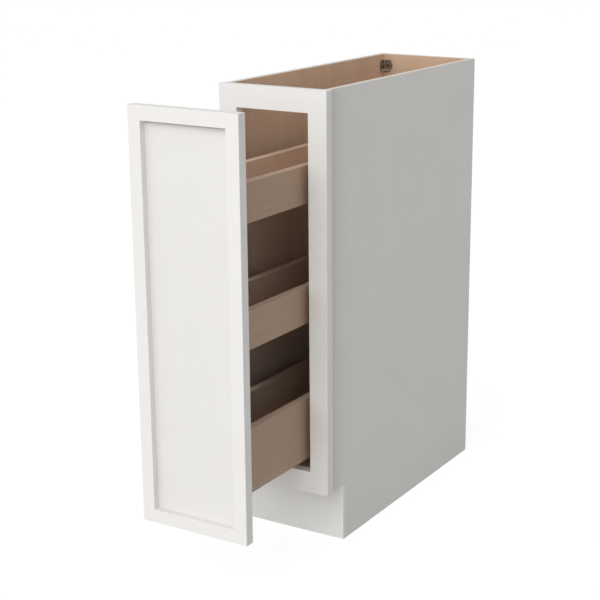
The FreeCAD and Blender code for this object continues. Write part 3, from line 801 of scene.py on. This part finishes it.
def dowelTree():
    # fluted peg with chamfered ends, centred on its point
    style = dowelStyle
    tree, given = startTree("flutedDowel", ["Radius", "Flute", "Length"])
    ends = []
    for share in (-0.5, 0.5):
        height = addNode(tree, "ShaderNodeMath", {0: given["Length"], 1: share}, operation="MULTIPLY")
        ends.append(addNode(tree, "ShaderNodeCombineXYZ", {2: height.outputs[0]}).outputs[0])
    line = addNode(tree, "GeometryNodeCurvePrimitiveLine", {"Start": ends[0], "End": ends[1]})
    rings = addNode(tree, "GeometryNodeResampleCurve", {"Curve": line.outputs[0], "Count": style["rings"]})
    last = addNode(tree, "GeometryNodeCurveEndpointSelection", {"Start Size": 1, "End Size": 1})
    tapered = addNode(tree, "GeometryNodeSetCurveRadius",
                      {"Curve": rings.outputs[0], "Selection": last.outputs[0], "Radius": style["taper"]})
    inner = addNode(tree, "ShaderNodeMath", {0: given["Radius"], 1: given["Flute"]}, operation="SUBTRACT")
    star = addNode(tree, "GeometryNodeCurveStar",
                   {"Points": style["flutes"], "Inner Radius": inner.outputs[0],
                    "Outer Radius": given["Radius"]})
    peg = addNode(tree, "GeometryNodeCurveToMesh",
                  {"Curve": tapered.outputs[0], "Profile Curve": star.outputs[0], "Fill Caps": True})
    return endTree(tree, given, peg.outputs[0])


padStyle = {
    "sides": 40,
    "rings": 10,
    "domePower": 2.0,
    "domeDraw": 0.84,
    "domeRound": 0.5,
    "smoothAngle": 50,
    "squeeze": 0.1 * mm,        # the crowns give this much when the door meets the face frame
}


def padTree():
    # low domed pad, flat where it is stuck on; its crown is at the origin
    style = padStyle
    tree, given = startTree("domedPad", ["Radius", "Height"])
    blank = addNode(tree, "GeometryNodeMeshCylinder",
                    {"Vertices": style["sides"], "Side Segments": style["rings"], "Fill Segments": 1,
                     "Radius": given["Radius"], "Depth": given["Height"]})
    half = addNode(tree, "ShaderNodeMath", {0: given["Height"], 1: -0.5}, operation="MULTIPLY")
    drop = addNode(tree, "ShaderNodeCombineXYZ", {2: half.outputs[0]})
    shaped = addNode(tree, "GeometryNodeSetPosition",
                     {"Geometry": blank.outputs[0], "Position": domed(tree, given["Height"], style),
                      "Offset": drop.outputs[0]})
    return endTree(tree, given, shaped.outputs[0])


def scatter(node, tree, places, sizes, material, smoothAngle):
    # one piece with a copy of the tree's shape at every place
    cloud = bpy.data.meshes.new(pieceName(node))
    cloud.from_pydata([place for place, aim in places], [], [])
    aims = cloud.attributes.new("aim", "FLOAT_VECTOR", "POINT")
    for i, (place, aim) in enumerate(places):
        aims.data[i].vector = aim
    piece = bpy.data.objects.new(pieceName(node), cloud)
    bpy.context.scene.collection.objects.link(piece)
    modifier = piece.modifiers.new(tree.name, "NODES")
    modifier.node_group = tree
    sockets = {item.name: item.identifier for item in tree.interface.items_tree
               if item.in_out == "INPUT"}
    for name, value in sizes.items():
        modifier[sockets[name]] = value
    modifier[sockets["Material"]] = material
    plain(piece)
    piece.data.shade_smooth()
    piece.data.set_sharp_from_angle(angle=math.radians(smoothAngle))
    settle(piece, node)


flatScrew = screwTree("flatHeadScrew", False)
panScrew = screwTree("panHeadScrew", True)
screwRows = {
    "corner_bracket_screws": {"tree": panScrew, "metal": "brownedScrew", "pitch": 1.3 * mm},
    "door_fixing_screws": {"tree": panScrew, "metal": "zincPlatedScrew", "pitch": 1.8 * mm},
    "rack_front_screws": {"tree": flatScrew, "metal": "zincPlatedScrew", "pitch": 1.8 * mm},
    "rack_rear_screws": {"tree": flatScrew, "metal": "zincPlatedScrew", "pitch": 1.8 * mm},
    "runner_cleat_screws": {"tree": flatScrew, "metal": "zincPlatedScrew", "pitch": 1.8 * mm},
    "outer_rail_screws": {"tree": flatScrew, "metal": "zincPlatedScrew", "pitch": 1.4 * mm},
    "inner_rail_screws": {"tree": flatScrew, "metal": "zincPlatedScrew", "pitch": 1.4 * mm},
}
for node, row in screwRows.items():
    found = solids(node)
    first = found[0]
    sunk = first["widest"] - first["shank"]      # a countersunk head's cone is as high as it is wide
    headHeight = first["headDepth"] if row["tree"] == panScrew else sunk
    sizes = {"Head Radius": first["widest"], "Head Height": headHeight, "Shank Radius": first["shank"],
             "Length": first["length"], "Thread Pitch": row["pitch"],
             "Recess Width": first["widest"] * screwStyle["recessShare"]}
    scatter(node, row["tree"], [(one["top"], one["aim"]) for one in found], sizes, metals[row["metal"]],
            screwStyle["smoothAngle"])
    print("screws:", node, len(found), {name: round(size / mm, 2) for name, size in sizes.items()})

ballRow = ballTree()
for node in ("outer_runner_balls", "inner_runner_balls"):
    found = solids(node)
    scatter(node, ballRow, middles(found), {"Radius": found[0]["length"] / 2}, metals["groundBallSteel"],
            ballStyle["smoothAngle"])
    print("balls:", node, len(found), round(found[0]["length"] / mm, 2))

found = solids("frame_dowels")
scatter("frame_dowels", dowelTree(), middles(found),
        {"Radius": found[0]["widest"], "Flute": dowelStyle["flute"], "Length": found[0]["length"]},
        dowelBeech, dowelStyle["smoothAngle"])
print("dowels:", len(found))

found = solids("door_bumpers", slim=False, wideTop=False)
crowns = [(one["top"] - one["aim"] * padStyle["squeeze"], one["aim"]) for one in found]
scatter("door_bumpers", padTree(), crowns,
        {"Radius": found[0]["widest"], "Height": found[0]["length"] - padStyle["squeeze"]}, padRubber,
        padStyle["smoothAngle"])
print("pads:", len(found), [tuple(round(v / mm, 1) for v in one["top"]) for one in found])

# Studio: white floor and surround, a dome that is bright towards the front, one soft box overhead and one
# in front
studio = {
    "floorSize": 60.0,
    "floorAlbedo": "#DEDEDE",
    "floorGlow": 0.875,          # the camera sees the floor as this glow
    "floorShadow": "#828282",    # and as this much of a surface that takes the shadow
    "surround": "#FFFFFF",
    "domeColour": "#FCFDFF",
    "domeWalls": {"front": 1.57, "back": 0.46, "left": 0.67, "right": 0.02},      # light from each side
    "lampColour": "#FFFDFA",
    "lampAim": (0.0, -0.7, 0.55),
    "lamps": {
        "overheadBox": {"place": (0.6, -0.4, 3.5), "size": (1.8, 1.8), "watts": 10.0},
        "frontBox": {"place": (0.6, -4.0, 3.0), "size": (1.2, 2.4), "watts": 36.0},
    },
}


def seenRay(tree):
    # 1 for camera, mirror and see-through rays, which show the white surround
    # 0 for the rays that light the object
    path = addNode(tree, "ShaderNodeLightPath")
    clear = addNode(tree, "ShaderNodeMath",
                    {0: path.outputs["Is Camera Ray"], 1: path.outputs["Is Glossy Ray"]}, operation="MAXIMUM")
    return addNode(tree, "ShaderNodeMath", {0: clear.outputs[0], 1: path.outputs["Is Transmission Ray"]},
                   operation="MAXIMUM").outputs[0]


def buildFloor():
    material, tree = startMaterial("paleFloor")
    pale = addNode(tree, "ShaderNodeBsdfDiffuse", {"Color": linear(studio["floorAlbedo"])})
    glow = addNode(tree, "ShaderNodeEmission", {"Strength": studio["floorGlow"]})
    shadow = addNode(tree, "ShaderNodeBsdfDiffuse", {"Color": linear(studio["floorShadow"])})
    seen = addNode(tree, "ShaderNodeAddShader", {0: glow.outputs[0], 1: shadow.outputs[0]})
    mixed = addNode(tree, "ShaderNodeMixShader", {0: seenRay(tree), 1: pale.outputs[0], 2: seen.outputs[0]})
    addNode(tree, "ShaderNodeOutputMaterial", {"Surface": mixed.outputs[0]})
    half = studio["floorSize"] / 2
    mesh = bpy.data.meshes.new("studioFloor")
    corners = [(-half, -half, 0), (half, -half, 0), (half, half, 0), (-half, half, 0)]
    mesh.from_pydata(corners, [], [(0, 1, 2, 3)])
    mesh.materials.append(material)
    floor = bpy.data.objects.new("studioFloor", mesh)
    bpy.context.scene.collection.objects.link(floor)


def buildDome():
    world = bpy.data.worlds.new("studioDome")
    bpy.context.scene.world = world
    world.use_nodes = True
    tree = world.node_tree
    tree.nodes.clear()
    way = addNode(tree, "ShaderNodeTexCoord").outputs["Generated"]
    facing = {"front": (0, -1, 0), "back": (0, 1, 0), "left": (-1, 0, 0), "right": (1, 0, 0)}
    level = 0.0
    for wall, strength in studio["domeWalls"].items():
        turned = addNode(tree, "ShaderNodeVectorMath", {0: way, 1: facing[wall]}, operation="DOT_PRODUCT")
        lit = addNode(tree, "ShaderNodeMath", {0: turned.outputs["Value"], 1: 0.0}, operation="MAXIMUM")
        level = addNode(tree, "ShaderNodeMath", {0: lit.outputs[0], 1: strength, 2: level},
                        operation="MULTIPLY_ADD").outputs[0]
    dome = addNode(tree, "ShaderNodeBackground", {"Color": linear(studio["domeColour"]), "Strength": level})
    white = addNode(tree, "ShaderNodeBackground", {"Color": linear(studio["surround"]), "Strength": 1.0})
    mixed = addNode(tree, "ShaderNodeMixShader", {0: seenRay(tree), 1: dome.outputs[0], 2: white.outputs[0]})
    addNode(tree, "ShaderNodeOutputWorld", {"Surface": mixed.outputs[0]})


def buildLamps():
    for name, box in studio["lamps"].items():
        lamp = bpy.data.lights.new(name, "AREA")
        lamp.shape = "RECTANGLE"
        lamp.size, lamp.size_y = box["size"]
        lamp.energy = box["watts"]
        lamp.color = linear(studio["lampColour"])[:3]
        holder = bpy.data.objects.new(name, lamp)
        holder.location = box["place"]
        aim = Vector(studio["lampAim"]) - holder.location
        holder.rotation_euler = aim.to_track_quat("-Z", "Y").to_euler()
        bpy.context.scene.collection.objects.link(holder)


# The photograph's viewpoint, fitted to the cabinet's corners
viewpoint = {
    "place": (1.4009, -2.7476, 1.1985),
    "azimuth": 30.29,
    "elevation": 15.665,
    "focalPixels": 1430.5,
    "imagePixels": 600,
    "centrePixel": 345,          # where the lens axis meets the picture, which was cropped off centre
    "sensor": 36.0,
}


def buildCamera():
    lens = bpy.data.cameras.new("photoView")
    lens.sensor_width = viewpoint["sensor"]
    lens.lens = viewpoint["focalPixels"] * viewpoint["sensor"] / viewpoint["imagePixels"]
    lens.shift_x = -(viewpoint["centrePixel"] / viewpoint["imagePixels"] - 0.5)
    lens.clip_end = studio["floorSize"] * 2
    camera = bpy.data.objects.new("photoView", lens)
    turn, tilt = math.radians(viewpoint["azimuth"]), math.radians(viewpoint["elevation"])
    back = Vector((math.sin(turn) * math.cos(tilt), -math.cos(turn) * math.cos(tilt), math.sin(tilt)))
    camera.location = viewpoint["place"]
    camera.rotation_euler = (-back).to_track_quat("-Z", "Y").to_euler()
    bpy.context.scene.collection.objects.link(camera)
    bpy.context.scene.camera = camera


buildFloor()
buildDome()
buildLamps()
buildCamera()
bpy.context.scene.view_settings.view_transform = "Standard"
print("studio and camera set")
